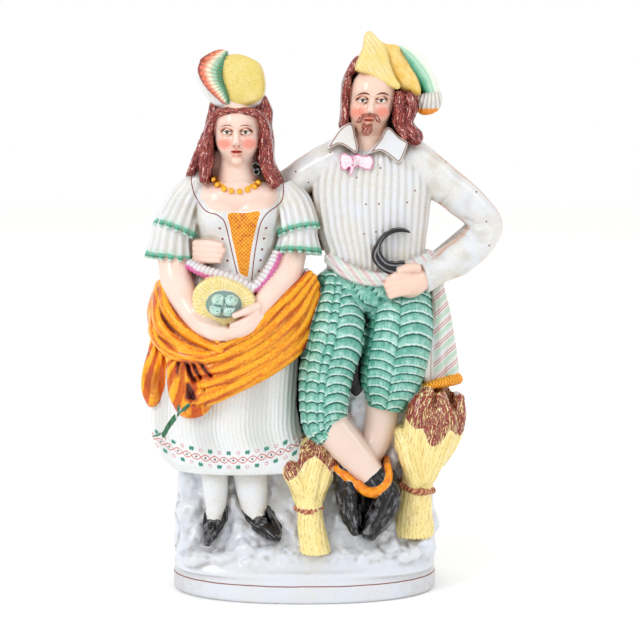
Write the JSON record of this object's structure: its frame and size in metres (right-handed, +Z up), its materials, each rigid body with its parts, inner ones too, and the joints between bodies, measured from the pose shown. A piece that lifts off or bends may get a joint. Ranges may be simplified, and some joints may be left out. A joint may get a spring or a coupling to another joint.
{
  "type": "figurine",
  "caption": "Press-moulded earthenware flatback of a harvest couple on an oval base, with bound wheat sheaves, a draped shawl and plumed hats.",
  "frame": {"origin": "centre of the base's flat underside", "axes": "+X to the viewer's right, -Y out of the modelled front, +Z up"},
  "size_m": [0.2287, 0.0835, 0.35],
  "materials": {
    "glazed_earthenware": "glossy lead glaze over enamel colours, finely crazed"
  },
  "bodies": {
    "root": {"harvest_couple": "glazed_earthenware"}
  },
  "joints": []
}
